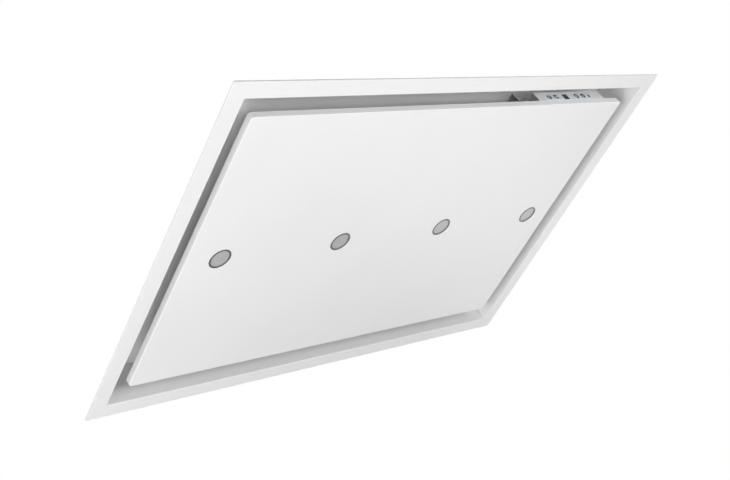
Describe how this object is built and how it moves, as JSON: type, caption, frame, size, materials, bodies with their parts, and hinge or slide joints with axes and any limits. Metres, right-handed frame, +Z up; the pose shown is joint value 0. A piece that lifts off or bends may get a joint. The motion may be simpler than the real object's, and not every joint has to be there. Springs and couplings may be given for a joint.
{
  "type": "ceiling range hood",
  "caption": "White ceiling range hood: hinged panel with round lamps in a trim frame, air gap all round, control strip, filters, blower and duct collar.",
  "frame": {"origin": "middle of the trim frame's visible lower face", "axes": "+X along the long side, with the control strip at +X; +Y from the panel's free edge to its hinged edge; +Z up into the ceiling"},
  "size_m": [1, 0.7, 0.2926],
  "materials": {
    "white_paint": "satin white powder coat",
    "galvanised": "galvanised sheet, satin",
    "bracket_steel": "zinc plated, satin",
    "screw_steel": "zinc plated, bright",
    "filter_rim": "satin",
    "filter_mesh": "expanded mesh, bright",
    "latch_plastic": "matte",
    "white_plastic": "matte",
    "fascia": "gloss",
    "display": "gloss dark blue",
    "receiver": "gloss",
    "button": "satin",
    "circuit_board": "matte",
    "bezel": "satin",
    "lamp_lens": "frosted",
    "cooler": "anodised",
    "grey_plastic": "matte",
    "plunger": "satin",
    "impeller_plastic": "matte",
    "motor_paint": "satin",
    "rubber": "matte",
    "duct_plastic": "matte"
  },
  "bodies": {
    "hood": {"trim_frame": "white_paint", "filter_plate": "white_paint", "casing_walls": "galvanised", "casing_top": "galvanised", "scroll_housing": "galvanised", "scroll_floor": "galvanised", "electronics_box": "galvanised", "electronics_cover": "galvanised", "suspension_brackets": "bracket_steel", "control_bracket": "bracket_steel", "hinge_bracket_left": "bracket_steel", "hinge_bracket_right": "bracket_steel", "screws": "screw_steel", "hinge_pins": "screw_steel", "damper_pin": "screw_steel", "filter_frame_left": "filter_rim", "filter_frame_centre": "filter_rim", "filter_frame_right": "filter_rim", "filter_mesh_left": "filter_mesh", "filter_mesh_centre": "filter_mesh", "filter_mesh_right": "filter_mesh", "control_housing": "white_plastic", "control_fascia": "fascia", "display_window": "display", "receiver_lens": "receiver", "control_board": "circuit_board", "power_board": "circuit_board", "catch_body_left": "grey_plastic", "catch_body_right": "grey_plastic", "cable_gland": "grey_plastic", "motor": "motor_paint", "blower_grommets": "rubber", "duct_collar": "duct_plastic"},
    "panel": {"panel_tray": "white_paint", "panel_back": "bracket_steel", "lamp_bodies": "cooler", "hinge_leaf_left": "bracket_steel", "hinge_leaf_right": "bracket_steel", "catch_strikers": "bracket_steel", "lamp_bezel_1": "bezel", "lamp_bezel_2": "bezel", "lamp_bezel_3": "bezel", "lamp_bezel_4": "bezel", "lamp_lens_1": "lamp_lens", "lamp_lens_2": "lamp_lens", "lamp_lens_3": "lamp_lens", "lamp_lens_4": "lamp_lens"},
    "latch_left": {"filter_latch_left": "latch_plastic"},
    "latch_centre": {"filter_latch_centre": "latch_plastic"},
    "latch_right": {"filter_latch_right": "latch_plastic"},
    "plunger_left": {"catch_plunger_left": "plunger"},
    "plunger_right": {"catch_plunger_right": "plunger"},
    "button_lamp": {"button_lamp": "button"},
    "button_slower": {"button_slower": "button"},
    "button_faster": {"button_faster": "button"},
    "button_timer": {"button_timer": "button"},
    "impeller": {"impeller": "impeller_plastic", "impeller_cup": "impeller_plastic"},
    "flap_left": {"damper_flap_left": "grey_plastic"},
    "flap_right": {"damper_flap_right": "grey_plastic"}
  },
  "joints": [
    {"name": "panel_hinge", "type": "hinge", "parent": "hood", "child": "panel", "pos_m": [0, 0.265, 0.031], "axis": [1, 0, 0], "range_deg": [0, 85]},
    {"name": "latch_left_slide", "type": "slide", "parent": "hood", "child": "latch_left", "axis": [0, 1, 0], "range_m": [0, 0.007], "stiffness_N_per_m": 400, "springref_m": -0.004},
    {"name": "latch_centre_slide", "type": "slide", "parent": "hood", "child": "latch_centre", "axis": [0, 1, 0], "range_m": [0, 0.007], "stiffness_N_per_m": 400, "springref_m": -0.004},
    {"name": "latch_right_slide", "type": "slide", "parent": "hood", "child": "latch_right", "axis": [0, 1, 0], "range_m": [0, 0.007], "stiffness_N_per_m": 400, "springref_m": -0.004},
    {"name": "plunger_left_slide", "type": "slide", "parent": "hood", "child": "plunger_left", "axis": [0, 0, 1], "range_m": [0, 0.004], "stiffness_N_per_m": 500, "springref_m": -0.004},
    {"name": "plunger_right_slide", "type": "slide", "parent": "hood", "child": "plunger_right", "axis": [0, 0, 1], "range_m": [0, 0.004], "stiffness_N_per_m": 500, "springref_m": -0.004},
    {"name": "button_lamp_press", "type": "slide", "parent": "hood", "child": "button_lamp", "axis": [0, 1, 0], "range_m": [0, 0.001], "stiffness_N_per_m": 800, "springref_m": -0.001},
    {"name": "button_slower_press", "type": "slide", "parent": "hood", "child": "button_slower", "axis": [0, 1, 0], "range_m": [0, 0.001], "stiffness_N_per_m": 800, "springref_m": -0.001},
    {"name": "button_faster_press", "type": "slide", "parent": "hood", "child": "button_faster", "axis": [0, 1, 0], "range_m": [0, 0.001], "stiffness_N_per_m": 800, "springref_m": -0.001},
    {"name": "button_timer_press", "type": "slide", "parent": "hood", "child": "button_timer", "axis": [0, 1, 0], "range_m": [0, 0.001], "stiffness_N_per_m": 800, "springref_m": -0.001},
    {"name": "impeller_spin", "type": "hinge", "parent": "hood", "child": "impeller", "pos_m": [0.12, 0.105, 0.1957], "axis": [0, 0, 1], "continuous": true},
    {"name": "flap_left_swing", "type": "hinge", "parent": "hood", "child": "flap_left", "pos_m": [0.4592, 0, 0.1957], "axis": [0, 0, 1], "range_deg": [0, 75], "stiffness_Nm_per_rad": 0.01, "springref_deg": -11.46},
    {"name": "flap_right_swing", "type": "hinge", "parent": "hood", "child": "flap_right", "pos_m": [0.4592, 0, 0.1957], "axis": [0, 0, -1], "range_deg": [0, 75], "stiffness_Nm_per_rad": 0.01, "springref_deg": -11.46}
  ]
}
